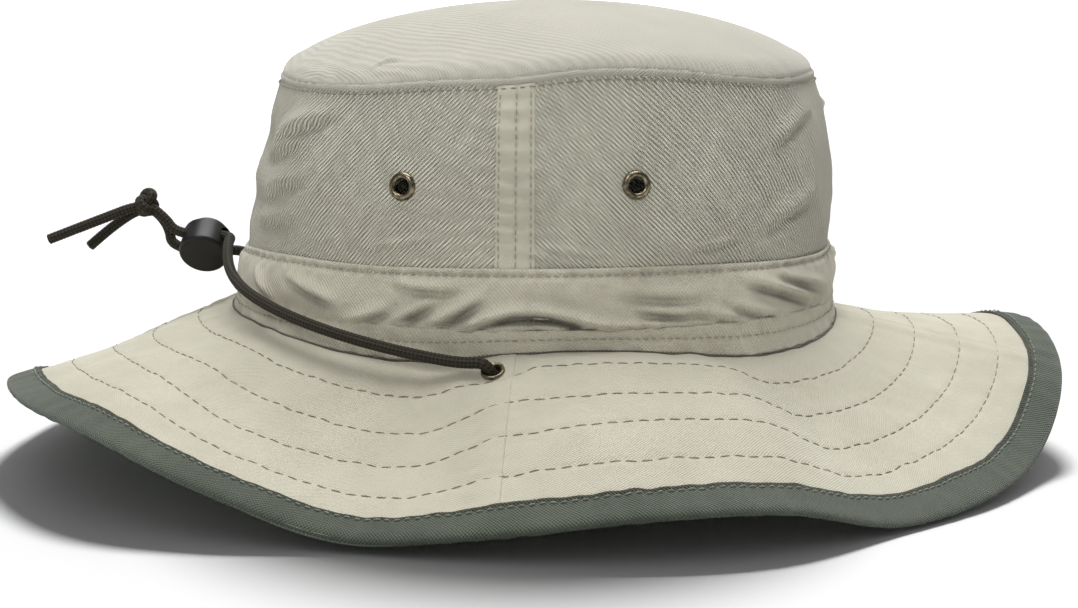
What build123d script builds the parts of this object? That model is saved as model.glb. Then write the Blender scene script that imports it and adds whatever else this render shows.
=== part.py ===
from build123d import *
import math
import os

os.makedirs("parts", exist_ok=True)

# ---------------------------------------------------------------- driving dimensions, mm and degrees
# The hat stands on its brim: Z = 0 is the floor, +X is the hat's front, +Y is the wearer's left.
BASE_LENGTH = 206.0          # the oval where crown and brim are sewn together, front to back
BASE_WIDTH = 172.0           # the same oval, side to side
BASE_HEIGHT = 46.0           # mean height of that oval above the floor
BRIM_WIDTH = 80.0            # seam to outer edge, along the cloth
BINDING_WIDTH = 11.5
CLOTH = 0.8                  # one layer of cloth with its turned edges
LAYER_GAP = 0.2              # space between layers that lie on each other
TOP_SEAM_HEIGHT = 82.0       # top seam above the base oval
TOP_SEAM_INSET = 13.0        # how far the crown has drawn in there, at front and back
SHOULDER = 28.0              # height where the wall comes out of the band and starts to curve in
SHOULDER_INSET = 3.6         # how far the wall stands inside the base oval up to there
SIDE_INSET_SHARE = 0.85      # the draw-in at the sides, as a share of that at front and back
DOME_RISE = 24.0             # crown tip above the top seam
CROWN_LEAN = 0.055           # forward shift of the crown, per mm of height
BAND_LOW = 6.8               # crown band, from here
BAND_HIGH = 25.0             # to here, above the base oval
SWEATBAND_HEIGHT = 28.0
SIDE_SEAM_AZIMUTH = 89.0     # the crown's side seams
SEAM_STRIP_WIDTH = 11.0      # flat-felled side seams of the crown
STATION_STEP = 15            # azimuth between the values of the two lists below
SECTION_STEP = 7.5           # azimuth between the sections of every sewn ring

# The brim hangs in soft lobes: one value for each 15 degrees of azimuth, from the front
# round by the wearer's left side, the back and the wearer's right side.
EDGE_DROP = [17, 9, 20, 34, 40.5, 35, 33, 38, 40.5, 34, 32, 34,
             33, 22, 20, 20, 29, 40, 39, 34, 32, 39, 38.5, 34]
BASE_WAVE = [0.5, 0.5, -1, -2, -2, 0.5, 1, -1, -2, 0, 2, 3.5,
             4, 3, 2.5, 0.5, -2, -2.5, 0.5, 1.5, -0.5, -3.5, -3.5, -2]

# eyelets: outer radius of the flange, of the barrel and of the hole
FRONT_VENT_AZIMUTH = 67.4    # from the front
BACK_VENT_AZIMUTH = 110.0
VENT_HEIGHT = 50.5           # above the base oval
VENT_RADII = (4.5, 2.9, 2.4)
CORD_EYELET_AZIMUTH = 92.0
CORD_EYELET_REACH = 9.0      # from the base seam, along the brim
CORD_EYELET_RADII = (3.6, 2.75, 2.3)
FLANGE = 0.8                 # thickness of an eyelet's flange and of its washer
HOLE_SLACK = 0.15            # cloth hole larger than the barrel

# chin cord and the cord lock on its tail, behind the crown
CORD = 3.4                   # cord diameter
LOCK_CENTRE = (-115.5, 0.0, 67.8)
LOCK_TILT = 35.0             # the lock's button points up and to the wearer's left by this much
LOCK_RADIUS = 8.5
LOCK_LOW = -6.6              # closed end of the body, from the cords' middle along the lock's axis
LOCK_HIGH = 3.6              # its open end
LOCK_FLOOR = 1.1             # thickness of the closed end
BUTTON_RADIUS = 6.8
BUTTON_HIGH = 6.4            # top of the button at rest
BUTTON_TRAVEL = 2.5
SLIDE_CLEARANCE = 0.1        # round the button and below it when it is pressed
CORD_PITCH = 7.0             # distance between the two cord holes
CORD_HOLE_RADIUS = 2.25
SPRING_RADIUS = 0.9
SPRING_WIRE = 0.3            # wire diameter
SPRING_PITCH = 1.1
SPRING_RECESS = 5.6          # depth of the spring's hole in the button


# ---------------------------------------------------------------- the shape of the sewn rings
def at(values, azimuth):
    """A smooth curve through a list that has one value for each station round the hat."""
    place = azimuth / STATION_STEP
    low = math.floor(place)
    t = place - low
    before, here, after, beyond = (values[(low + k) % len(values)] for k in (-1, 0, 1, 2))
    bend = (2 * before - 5 * here + 4 * after - beyond) * t**2
    twist = (3 * here - before - 3 * after + beyond) * t**3
    return here + 0.5 * ((after - before) * t + bend + twist)


def outward(azimuth):
    """Horizontal unit normal of the base oval."""
    x = math.cos(math.radians(azimuth)) / BASE_LENGTH
    y = math.sin(math.radians(azimuth)) / BASE_WIDTH
    size = math.hypot(x, y)
    return x / size, y / size


def base_point(azimuth):
    x = BASE_LENGTH / 2 * math.cos(math.radians(azimuth))
    y = BASE_WIDTH / 2 * math.sin(math.radians(azimuth))
    return x, y


def seam(azimuth):
    """Height of the base seam."""
    return BASE_HEIGHT + at(BASE_WAVE, azimuth)


def upright(azimuth):
    """Vertical plane across the ring: its x runs outward from the base oval, its y is height."""
    x, y = base_point(azimuth)
    out_x, out_y = outward(azimuth)
    return Plane(origin=(x, y, 0), x_dir=(out_x, out_y, 0), z_dir=(out_y, -out_x, 0))


def draw_in(height):
    """How far the crown wall stands inside the base oval at front and back."""
    climb = max(0.0, height - SHOULDER) / (TOP_SEAM_HEIGHT - SHOULDER)
    return SHOULDER_INSET + (TOP_SEAM_INSET - SHOULDER_INSET) * climb**2.2


def wall_out(azimuth, height):
    """Outward place of the crown wall's outer face, at a height above the base oval."""
    out_x, out_y = outward(azimuth)
    cosine, sine = math.cos(math.radians(azimuth)), math.sin(math.radians(azimuth))
    along = CROWN_LEAN * height - draw_in(height) * cosine
    across = -SIDE_INSET_SHARE * draw_in(height) * sine
    return out_x * along + out_y * across


def brim_reach(azimuth):
    """Horizontal distance from base seam to brim edge."""
    return math.sqrt(BRIM_WIDTH**2 - at(EDGE_DROP, azimuth) ** 2)


def brim_point(azimuth, share, lift=0.0):
    """Outward place and height on the brim's top face, share 0 at the seam and 1 at the edge."""
    height = seam(azimuth) - at(EDGE_DROP, azimuth) * share
    return brim_reach(azimuth) * share, height + lift


def stations(first, last):
    count = round((last - first) / SECTION_STEP)
    return [first + SECTION_STEP * step for step in range(count + 1)]


def cut_holes(planes, radius, depth=8.0):
    """Round holes through the piece that is being made, one across each plane."""
    for plane in planes:
        with BuildSketch(plane.offset(-depth)) as hole:
            Circle(radius)
        extrude(hole.sketch, amount=2 * depth, mode=Mode.SUBTRACT)


def finish(piece, name):
    piece.label = name
    export_step(piece, "parts/" + name + ".step")


def wall_plane(azimuth, height):
    """Plane on the crown wall's outer face, its z pointing out of the crown."""
    x, y = base_point(azimuth)
    out_x, out_y = outward(azimuth)
    out = wall_out(azimuth, height)
    slope = wall_out(azimuth, height + 1) - wall_out(azimuth, height - 1)
    origin = (x + out_x * out, y + out_y * out, BASE_HEIGHT + height)
    return Plane(origin=origin, x_dir=(-out_y, out_x, 0), z_dir=(out_x, out_y, -slope / 2))


def brim_place(azimuth, share):
    """A point of the brim's top face."""
    x, y = base_point(azimuth)
    out_x, out_y = outward(azimuth)
    out, height = brim_point(azimuth, share)
    return Vector(x + out_x * out, y + out_y * out, height)


def brim_plane(azimuth, reach):
    """Plane that touches the brim's top face, its z pointing up out of the cloth."""
    share = reach / BRIM_WIDTH
    along = brim_place(azimuth + 2, share) - brim_place(azimuth - 2, share)
    down = brim_place(azimuth, share + 0.05) - brim_place(azimuth, share - 0.05)
    return Plane(origin=brim_place(azimuth, share), x_dir=along, z_dir=down.cross(along))


VENTS = {
    "front_left": wall_plane(FRONT_VENT_AZIMUTH, VENT_HEIGHT),
    "back_left": wall_plane(BACK_VENT_AZIMUTH, VENT_HEIGHT),
    "back_right": wall_plane(-BACK_VENT_AZIMUTH, VENT_HEIGHT),
    "front_right": wall_plane(-FRONT_VENT_AZIMUTH, VENT_HEIGHT),
}
CORD_EYELETS = {
    "left": brim_plane(CORD_EYELET_AZIMUTH, CORD_EYELET_REACH),
    "right": brim_plane(-CORD_EYELET_AZIMUTH, CORD_EYELET_REACH),
}
QUARTERS = {"front_left": 0, "back_left": 90, "back_right": 180, "front_right": 270}
VENT_HOLE = VENT_RADII[1] + HOLE_SLACK
CORD_EYELET_HOLE = CORD_EYELET_RADII[1] + HOLE_SLACK


# ---------------------------------------------------------------- crown tip: a shallow oval dome
TIP_BASE = BASE_HEIGHT + TOP_SEAM_HEIGHT + LAYER_GAP
TIP_LENGTH = BASE_LENGTH / 2 - TOP_SEAM_INSET
TIP_WIDTH = BASE_WIDTH / 2 - SIDE_INSET_SHARE * TOP_SEAM_INSET
TIP_CENTRE = CROWN_LEAN * TOP_SEAM_HEIGHT
TIP_STEPS = 7
with BuildPart() as crown_tip:
    for shrink, mode in ((0.0, Mode.ADD), (CLOTH, Mode.SUBTRACT)):
        for step in range(TIP_STEPS):
            climb = math.radians(84 * step / (TIP_STEPS - 1))
            height = (DOME_RISE - shrink) * math.sin(climb)
            with BuildSketch(Plane.XY.offset(TIP_BASE + height)):
                with Locations((TIP_CENTRE, 0)):
                    Ellipse((TIP_LENGTH - shrink) * math.cos(climb), (TIP_WIDTH - shrink) * math.cos(climb))
        loft(mode=mode)
finish(crown_tip.part, "crown_tip")


# ---------------------------------------------------------------- crown wall, front and back halves
def wall_section(azimuth):
    """Upright section of the crown wall: straight behind the band, then curving in to the top seam."""
    middle = 58.0
    top = TOP_SEAM_HEIGHT - LAYER_GAP
    foot = (-1.6, seam(azimuth) + 0.5)
    with BuildSketch(upright(azimuth)) as section:
        with BuildLine():
            bend = [(wall_out(azimuth, h), BASE_HEIGHT + h) for h in (SHOULDER, middle, top)]
            Line(foot, bend[0])
            ThreePointArc(*bend)
            Line(bend[2], (bend[2][0] - CLOTH, bend[2][1]))
            ThreePointArc(*[(out - CLOTH, height) for out, height in reversed(bend)])
            Line((bend[0][0] - CLOTH, bend[0][1]), (foot[0] - CLOTH, foot[1]))
            Line((foot[0] - CLOTH, foot[1]), foot)
        make_face()
    return section.sketch


for name, first in (("front", -90), ("back", 90)):
    with BuildPart() as crown_wall:
        loft([wall_section(azimuth) for azimuth in stations(first, first + 180)])
        cut_holes([plane for side, plane in VENTS.items() if side.startswith(name)], VENT_HOLE)
    finish(crown_wall.part, "crown_wall_" + name)


# ---------------------------------------------------------------- closed rings round the crown
def ring_section(azimuth, outline):
    with BuildSketch(upright(azimuth)) as section:
        with BuildLine():
            Polyline(*outline(azimuth), close=True)
        make_face()
    return section.sketch


def welt_outline(azimuth):
    """The rolled seam that covers the joint between wall and tip."""
    low, high = TOP_SEAM_HEIGHT - 2.0, TOP_SEAM_HEIGHT + 1.4
    foot = wall_out(azimuth, low) + 0.3
    head = wall_out(azimuth, TOP_SEAM_HEIGHT) + 0.3
    shape = [(foot, low), (foot + 0.9, low + 0.4), (head + 1.0, high - 0.5), (head, high)]
    return [(out, BASE_HEIGHT + height) for out, height in shape]


def band_outline(azimuth):
    """The gathered band, bulging a little between its two stitched edges."""
    bulge = 0.5 * (BAND_LOW + BAND_HIGH)
    top = wall_out(azimuth, SHOULDER) + CLOTH + 0.6
    shape = [(-0.4, BAND_LOW), (0.2, bulge), (top, BAND_HIGH)]
    outer = [(out, BASE_HEIGHT + height) for out, height in shape]
    inner = [(out - CLOTH, height) for out, height in reversed(outer)]
    return outer + inner


def hem_outline(azimuth):
    """The flat strip between the band and the brim."""
    out, low, high = -0.4, seam(azimuth) - 1.0, BASE_HEIGHT + BAND_LOW - LAYER_GAP
    return [(out, low), (out, high), (out - CLOTH, high), (out - CLOTH, low)]


def sweatband_outline(azimuth):
    low, high = seam(azimuth), BASE_HEIGHT + SWEATBAND_HEIGHT
    foot = -1.6 - CLOTH - LAYER_GAP
    top = wall_out(azimuth, SWEATBAND_HEIGHT) - CLOTH - LAYER_GAP
    return [(foot, low), (top, high), (top - CLOTH, high), (foot - CLOTH, low)]


RINGS = {
    "tip_seam_welt": welt_outline,
    "crown_band": band_outline,
    "band_hem": hem_outline,
    "sweatband": sweatband_outline,
}
for name, outline in RINGS.items():
    with BuildPart() as ring:
        for first in QUARTERS.values():
            loft([ring_section(azimuth, outline) for azimuth in stations(first, first + 90)])
    finish(ring.part, name)


# ---------------------------------------------------------------- side seam strips and size label
def strip_section(azimuth):
    low, high = BAND_HIGH + 1.5, TOP_SEAM_HEIGHT - 2.2
    middle = 0.5 * (low + high)
    bend = [(wall_out(azimuth, h) + LAYER_GAP, BASE_HEIGHT + h) for h in (low, middle, high)]
    with BuildSketch(upright(azimuth)) as section:
        with BuildLine():
            ThreePointArc(*bend)
            Line(bend[2], (bend[2][0] + CLOTH, bend[2][1]))
            ThreePointArc(*[(out + CLOTH, height) for out, height in reversed(bend)])
            Line((bend[0][0] + CLOTH, bend[0][1]), bend[0])
        make_face()
    return section.sketch


for name, side in (("left", SIDE_SEAM_AZIMUTH), ("right", -SIDE_SEAM_AZIMUTH)):
    half_angle = math.degrees(SEAM_STRIP_WIDTH / BASE_LENGTH)
    with BuildPart() as side_seam:
        loft([strip_section(azimuth) for azimuth in (side - half_angle, side, side + half_angle)])
    finish(side_seam.part, "side_seam_" + name)

LABEL_WIDTH, LABEL_HEIGHT, LABEL_THICK = 24.0, 14.0, 0.5
label_out = BASE_LENGTH / 2 + wall_out(180, SWEATBAND_HEIGHT) - 2 * CLOTH - 2 * LAYER_GAP
with BuildPart() as size_label:
    with BuildSketch(Plane.YZ.offset(-label_out + LABEL_THICK + 1.2)):
        with Locations((0, BASE_HEIGHT + 0.5 * SWEATBAND_HEIGHT)):
            RectangleRounded(LABEL_WIDTH, LABEL_HEIGHT, 1.5)
    extrude(amount=LABEL_THICK)
finish(size_label.part, "size_label")


# ---------------------------------------------------------------- brim: three layers and the binding
BINDING_SHARE = 1 - BINDING_WIDTH / BRIM_WIDTH
EDGE_SHARE = 0.965           # where the cloth layers end inside the binding
TOP_CLOTH = (0.0, -CLOTH)
INTERLINING = (TOP_CLOTH[1] - LAYER_GAP, TOP_CLOTH[1] - LAYER_GAP - 0.6)
UNDER_CLOTH = (INTERLINING[1] - LAYER_GAP, INTERLINING[1] - LAYER_GAP - CLOTH)
BINDING_TOP = (0.3, 0.9)
BINDING_UNDER = (UNDER_CLOTH[1] - 0.3, UNDER_CLOTH[1] - 0.9)


def layer_outline(azimuth, layer):
    top, under = layer
    return [brim_point(azimuth, 0, top), brim_point(azimuth, EDGE_SHARE, top),
            brim_point(azimuth, EDGE_SHARE, under), brim_point(azimuth, 0, under)]


def binding_outline(azimuth):
    """A strip folded round the brim's edge, closed at the outside and open towards the crown."""
    inside = EDGE_SHARE + 0.006
    corners = [(BINDING_SHARE, BINDING_TOP[1]), (1, BINDING_TOP[1]), (1, BINDING_UNDER[1]),
               (BINDING_SHARE, BINDING_UNDER[1]), (BINDING_SHARE, BINDING_UNDER[0]),
               (inside, BINDING_UNDER[0]), (inside, BINDING_TOP[0]), (BINDING_SHARE, BINDING_TOP[0])]
    return [brim_point(azimuth, share, lift) for share, lift in corners]


def brim_piece(name, quarters, layer):
    with BuildPart() as piece:
        for first in quarters:
            loft([ring_section(azimuth, lambda angle: layer_outline(angle, layer))
                  for azimuth in stations(first, first + 90)])
        cut_holes(CORD_EYELETS.values(), CORD_EYELET_HOLE)
    finish(piece.part, name)


for name, first in QUARTERS.items():
    brim_piece("brim_top_" + name, [first], TOP_CLOTH)
    brim_piece("brim_under_" + name, [first], UNDER_CLOTH)
brim_piece("brim_interlining_left", [0, 90], INTERLINING)
brim_piece("brim_interlining_right", [180, 270], INTERLINING)

with BuildPart() as brim_binding:
    for first in QUARTERS.values():
        loft([ring_section(azimuth, binding_outline) for azimuth in stations(first, first + 90)])
finish(brim_binding.part, "brim_binding")


# ---------------------------------------------------------------- eyelets and their washers
def eyelet(name, plane, radii, through):
    """A flanged barrel through the cloth, and the washer that holds it on the other side."""
    flange, barrel, hole = radii
    lift = 0.3
    with BuildPart() as shell:
        with BuildSketch(plane.offset(lift)):
            Circle(flange)
        extrude(amount=FLANGE)
        chamfer(shell.edges().group_by(Axis(plane.origin, plane.z_dir))[-1], 0.35)
        with BuildSketch(plane.offset(lift)):
            Circle(barrel)
        extrude(amount=-through - lift - FLANGE)
        with BuildSketch(plane.offset(lift + FLANGE)):
            Circle(hole)
        extrude(amount=-through - 2 * lift - 2 * FLANGE, mode=Mode.SUBTRACT)
    finish(shell.part, name)
    with BuildPart() as washer:
        with BuildSketch(plane.offset(-through)):
            Circle(flange)
            Circle(barrel + 0.05, mode=Mode.SUBTRACT)
        extrude(amount=-FLANGE)
    finish(washer.part, name.replace("eyelet", "washer"))


for name, plane in VENTS.items():
    eyelet("vent_eyelet_" + name, plane, VENT_RADII, CLOTH + 0.5)
for name, plane in CORD_EYELETS.items():
    eyelet("brim_eyelet_" + name, plane, CORD_EYELET_RADII, 3.0)


# ---------------------------------------------------------------- chin cord
def cord_piece(name, route):
    """A round cord along straight runs joined by the largest arcs that fit them.

    It is bent tight on purpose at the eyelet, at both sides of the lock and in the knot.
    """
    points = [Vector(*point) for point in route]
    radii = []
    for before, here, after in zip(points, points[1:], points[2:]):
        turn = (here - before).get_angle(after - here)
        shorter = min((here - before).length, (after - here).length)
        radii.append(0.45 * shorter / math.tan(math.radians(turn / 2)))
    with BuildPart() as tube:
        with BuildLine() as path:
            FilletPolyline(*route, radius=radii)
        with BuildSketch(Plane(origin=path.line @ 0, z_dir=path.line % 0)):
            Circle(CORD / 2)
        sweep(path=path.line)
    length = path.wires()[0].length
    expected = math.pi * CORD**2 / 4 * length
    print(name, "length", round(length, 1), "volume share", round(tube.part.volume / expected, 4),
          "radii", [round(radius, 1) for radius in radii])
    finish(tube.part, name)


# Each strand rises out of its brim eyelet, follows the band round to the back, turns out
# through the cord lock, is caught in the tail knot and ends in a short free end.
RIGHT_ROUTE = [
    (-3.2, -91.2, 37.2), (-4.3, -95.8, 45.4), (-13.6, -93.3, 44.4), (-28.0, -91.0, 46.3),
    (-44.0, -86.6, 49.0), (-59.0, -79.6, 51.8), (-72.6, -70.0, 54.6), (-85.0, -57.8, 57.6),
    (-94.6, -43.4, 60.4), (-101.4, -27.0, 64.0), (-105.2, -11.0, 69.0), (-105.6, -2.0, 70.7),
    (-125.4, -2.0, 70.7), (-130.0, -1.2, 76.8), (-136.6, -1.9, 81.8), (-153.0, -3.4, 75.6),
    (-170.6, -4.6, 68.8),
]
LEFT_ROUTE = [
    (-3.5, 92.0, 38.4), (-4.1, 95.9, 46.9), (-13.5, 93.1, 46.3), (-28.0, 91.0, 46.8),
    (-44.0, 86.6, 47.6), (-59.0, 79.6, 49.6), (-72.6, 70.0, 51.6), (-85.0, 57.8, 54.0),
    (-94.6, 43.4, 56.4), (-101.4, 27.0, 59.2), (-105.2, 11.0, 63.2), (-105.6, 2.0, 64.9),
    (-128.4, 2.0, 64.9), (-129.6, 3.4, 73.4), (-136.2, 2.0, 80.6), (-148.0, 3.4, 74.6),
    (-158.8, 4.6, 65.4),
]
cord_piece("chin_cord_right", RIGHT_ROUTE)
cord_piece("chin_cord_left", LEFT_ROUTE)


def knot(name, centre, half_sizes):
    """The outer shape of a pulled knot: a round body with a waist of turned cord."""
    long, wide, high = half_sizes
    with BuildPart() as body:
        for share in (-0.9, -0.55, 0, 0.55, 0.9):
            fullness = math.sqrt(1 - share**2)
            with BuildSketch(Plane.XY.offset(centre[2] + high * share)):
                with Locations(centre[:2]):
                    Ellipse(long * fullness, wide * fullness)
        loft()
    finish(body.part, name)


knot("cord_knot", (-136.3, 0.0, 81.2), (5.4, 5.8, 6.2))
knot("stop_knot_right", (-3.0, -90.2, 35.2), (3.4, 3.4, 3.3))
knot("stop_knot_left", (-3.3, 91.0, 36.2), (3.4, 3.4, 3.3))


# ---------------------------------------------------------------- cord lock: body, button and spring
tilt = math.radians(LOCK_TILT)
lock_up = (0, math.cos(tilt), math.sin(tilt))
lock_plane = Plane(origin=LOCK_CENTRE, x_dir=(1, 0, 0), z_dir=lock_up)
cord_plane = Plane(origin=LOCK_CENTRE, x_dir=lock_up, z_dir=(1, 0, 0))
lock_axis = Axis(LOCK_CENTRE, lock_up)
BORE_LOW = LOCK_LOW + LOCK_FLOOR
BUTTON_LOW = BORE_LOW + BUTTON_TRAVEL + SLIDE_CLEARANCE


def cut_cord_slots(extra):
    """Both cord holes right through the lock, made longer upwards along its axis by extra."""
    with BuildSketch(cord_plane.offset(-2 * LOCK_RADIUS)) as slots:
        for side in (-CORD_PITCH / 2, CORD_PITCH / 2):
            for climb in (0, extra):
                with Locations((climb, side)):
                    Circle(CORD_HOLE_RADIUS)
            with Locations((extra / 2, side)):
                Rectangle(extra, 2 * CORD_HOLE_RADIUS)
    extrude(slots.sketch, amount=4 * LOCK_RADIUS, mode=Mode.SUBTRACT)


with BuildPart() as cord_lock_body:
    with BuildSketch(lock_plane.offset(LOCK_LOW)):
        Circle(LOCK_RADIUS)
    extrude(amount=LOCK_HIGH - LOCK_LOW)
    fillet(cord_lock_body.edges().group_by(lock_axis)[0], 1.0)
    chamfer(cord_lock_body.edges().group_by(lock_axis)[-1], 0.4)
    with BuildSketch(lock_plane.offset(BORE_LOW)):
        Circle(BUTTON_RADIUS + SLIDE_CLEARANCE)
    extrude(amount=LOCK_HIGH - BORE_LOW, mode=Mode.SUBTRACT)
    cut_cord_slots(0.6)
finish(cord_lock_body.part, "cord_lock_body")

with BuildPart() as cord_lock_button:
    with BuildSketch(lock_plane.offset(BUTTON_LOW)):
        Circle(BUTTON_RADIUS)
    extrude(amount=BUTTON_HIGH - BUTTON_LOW)
    fillet(cord_lock_button.edges().group_by(lock_axis)[-1], 1.4)
    cut_cord_slots(BUTTON_TRAVEL + 0.1)
    with BuildSketch(lock_plane.offset(BUTTON_LOW)):
        Circle(SPRING_RADIUS + SPRING_WIRE)
    extrude(amount=SPRING_RECESS, mode=Mode.SUBTRACT)
finish(cord_lock_button.part, "cord_lock_button")

spring_foot = lock_plane.from_local_coords((0, 0, BORE_LOW + SPRING_WIRE))
spring_height = BUTTON_LOW + SPRING_RECESS - BORE_LOW - 2 * SPRING_WIRE
with BuildPart() as cord_lock_spring:
    with BuildLine() as coil:
        Helix(SPRING_PITCH, spring_height, SPRING_RADIUS, center=spring_foot, direction=lock_up)
    with BuildSketch(Plane(origin=coil.line @ 0, z_dir=coil.line % 0)):
        Circle(SPRING_WIRE / 2)
    sweep(path=coil.wires()[0], is_frenet=True)
finish(cord_lock_spring.part, "cord_lock_spring")
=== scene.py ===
import math
import bpy
import numpy as np
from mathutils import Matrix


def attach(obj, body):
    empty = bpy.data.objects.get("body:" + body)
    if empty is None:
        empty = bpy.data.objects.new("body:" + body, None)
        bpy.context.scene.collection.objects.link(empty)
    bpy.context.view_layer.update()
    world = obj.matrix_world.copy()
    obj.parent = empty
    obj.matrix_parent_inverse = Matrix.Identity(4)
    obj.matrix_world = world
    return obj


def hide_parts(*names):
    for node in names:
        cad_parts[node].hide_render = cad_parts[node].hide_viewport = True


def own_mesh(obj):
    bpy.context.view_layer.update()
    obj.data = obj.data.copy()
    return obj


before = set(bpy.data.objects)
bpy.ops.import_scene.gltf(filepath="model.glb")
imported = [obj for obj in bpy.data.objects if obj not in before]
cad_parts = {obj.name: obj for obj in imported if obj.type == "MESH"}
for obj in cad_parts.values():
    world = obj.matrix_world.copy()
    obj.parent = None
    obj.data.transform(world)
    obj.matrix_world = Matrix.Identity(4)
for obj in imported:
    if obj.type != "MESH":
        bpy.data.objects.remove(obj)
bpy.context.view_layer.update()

# ---- sizes, in millimetres and degrees
# The same driving dimensions as the CAD model: Z = 0 is the floor, +X the hat's front.
MM = 0.001
BASE_LENGTH, BASE_WIDTH, BASE_HEIGHT = 206.0, 172.0, 46.0
BRIM_WIDTH = 80.0
TOP_SEAM_HEIGHT, TOP_SEAM_INSET = 82.0, 13.0
SHOULDER, SHOULDER_INSET, SIDE_INSET_SHARE = 28.0, 3.6, 0.85
DOME_RISE, CROWN_LEAN = 24.0, 0.055
BAND_LOW, BAND_HIGH = 6.8, 25.0
FRONT_VENT_AZIMUTH, BACK_VENT_AZIMUTH, VENT_HEIGHT = 67.4, 110.0, 50.5
CORD_EYELET_AZIMUTH, CORD_EYELET_REACH = 92.0, 9.0
CORD = 3.4
SIDE_SEAM_AZIMUTH = 89.0
SIDE_ROWS = (-4.9, 0.2, 4.6)         # stitch rows from the middle of a side seam strip
STRIP_HALF = 5.9                     # half the width of a side seam strip
WALL_THICKNESS, BRIM_THICKNESS = 0.8, 0.55
LINING_LIFT, UNDER_LIFT = -0.72, -1.7    # from the brim's top face to the interlining and the underside
BRIM_GIRTH, RIM_GIRTH = 94.0, 165.0      # radii at which the brim's and the binding's weave are laid out
TOP_STITCH_DROP = 2.1                # from the band's top edge to its stitches
RIPPLE_PITCH = 0.0015                # of the diagonal ripples in the crown's cloth, in metres

# one value for each 15 degrees of azimuth, from the front round by the wearer's left side
EDGE_DROP = [17, 9, 20, 34, 40.5, 35, 33, 38, 40.5, 34, 32, 34,
             33, 22, 20, 20, 29, 40, 39, 34, 32, 39, 38.5, 34]
BASE_WAVE = [0.5, 0.5, -1, -2, -2, 0.5, 1, -1, -2, 0, 2, 3.5,
             4, 3, 2.5, 0.5, -2, -2.5, 0.5, 1.5, -0.5, -3.5, -3.5, -2]
TOP_WAVE = [0.5, 0.5, -0.5, -1.5, 0, 1.5, 0.5, -1.5, -1, 0.5, 1, 0,
            -0.5, -1, -2, -2.4, -2.0, -0.2, 0.9, 3.6, 3.2, 1.0, -0.5, 0]
BAND_WAVE = [-0.5, 0, 0.5, 0.8, 0, -0.8, 0, 0.8, 0.5, -0.5, 0, 0.5,
             -1, -1, 0.2, 0.8, 0.4, 0.8, 1.3, 1.4, 1.3, 0.6, -0.3, -0.5]
ROW_PLACES = (14.0, 29.0, 43.5, 57.5)    # stitch rows, from the base seam along the brim

# ---- camera
# It stands 692 mm from the crown's middle, 5 degrees forward of square to the hat's right side.
cam_data = bpy.data.cameras.new("camera")
cam_data.sensor_width = 36.0
cam_data.lens = 67.08
cam = bpy.data.objects.new("camera", cam_data)
cam.location = (0.0621, -0.6876, 0.1621)
cam.rotation_euler = (math.radians(90 - 9.43), 0.0, math.radians(5.0))
bpy.context.collection.objects.link(cam)
bpy.context.scene.camera = cam
bpy.context.scene.view_settings.view_transform = "Standard"


# ---- the shape of the sewn rings
def at(values, azimuth):
    """A smooth curve through a list that has one value for each station round the hat."""
    values = np.asarray(values, float)
    place = np.asarray(azimuth, float) / (360 / len(values))
    low = np.floor(place).astype(int)
    t = place - low
    before, here, after, beyond = (values[(low + k) % len(values)] for k in (-1, 0, 1, 2))
    bend = (2 * before - 5 * here + 4 * after - beyond) * t**2
    twist = (3 * here - before - 3 * after + beyond) * t**3
    return here + 0.5 * ((after - before) * t + bend + twist)


def outward(azimuth):
    x = np.cos(np.radians(azimuth)) / BASE_LENGTH
    y = np.sin(np.radians(azimuth)) / BASE_WIDTH
    size = np.hypot(x, y)
    return x / size, y / size


def ring_point(azimuth, out, height):
    """Points at a distance outside the base oval and a height above the floor, as an array."""
    azimuth, out, height = np.broadcast_arrays(azimuth, out, height)
    out_x, out_y = outward(azimuth)
    x = BASE_LENGTH / 2 * np.cos(np.radians(azimuth)) + out_x * out
    y = BASE_WIDTH / 2 * np.sin(np.radians(azimuth)) + out_y * out
    return np.stack([x, y, height], -1)


def wall_out(azimuth, height):
    """Outward place of the crown wall's outer face, at a height above the base oval."""
    climb = np.maximum(0.0, height - SHOULDER) / (TOP_SEAM_HEIGHT - SHOULDER)
    inset = SHOULDER_INSET + (TOP_SEAM_INSET - SHOULDER_INSET) * climb**2.2
    out_x, out_y = outward(azimuth)
    along = CROWN_LEAN * height - inset * np.cos(np.radians(azimuth))
    across = -SIDE_INSET_SHARE * inset * np.sin(np.radians(azimuth))
    return out_x * along + out_y * across


def brim_point(azimuth, reach, lift=0.0):
    """Points on the brim's top face, reach mm from the base seam along the cloth."""
    share = reach / BRIM_WIDTH
    drop = at(EDGE_DROP, azimuth)
    out = np.sqrt(BRIM_WIDTH**2 - drop**2) * share
    return ring_point(azimuth, out, BASE_HEIGHT + at(BASE_WAVE, azimuth) - drop * share + lift)


def arc_length(azimuth):
    """Rough length round the base oval, in mm, from azimuth 0."""
    return np.radians(azimuth) * (BASE_LENGTH + BASE_WIDTH) / 4


# ---- wrinkles
def bell(x, middle, width):
    return np.exp(-(((x - middle) / width) ** 2))


def ramp_up(x, low, high):
    t = np.clip((x - low) / (high - low), 0, 1)
    return t * t * (3 - 2 * t)


def turned(azimuth, middle):
    """Azimuth measured from another azimuth, from -180 to 180."""
    return (np.asarray(azimuth) - middle + 180) % 360 - 180


def side_gap(azimuth):
    """Distance along the oval to the nearer side seam, in mm."""
    return np.abs(arc_length(np.abs(turned(azimuth, 0)) - 90))


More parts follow.
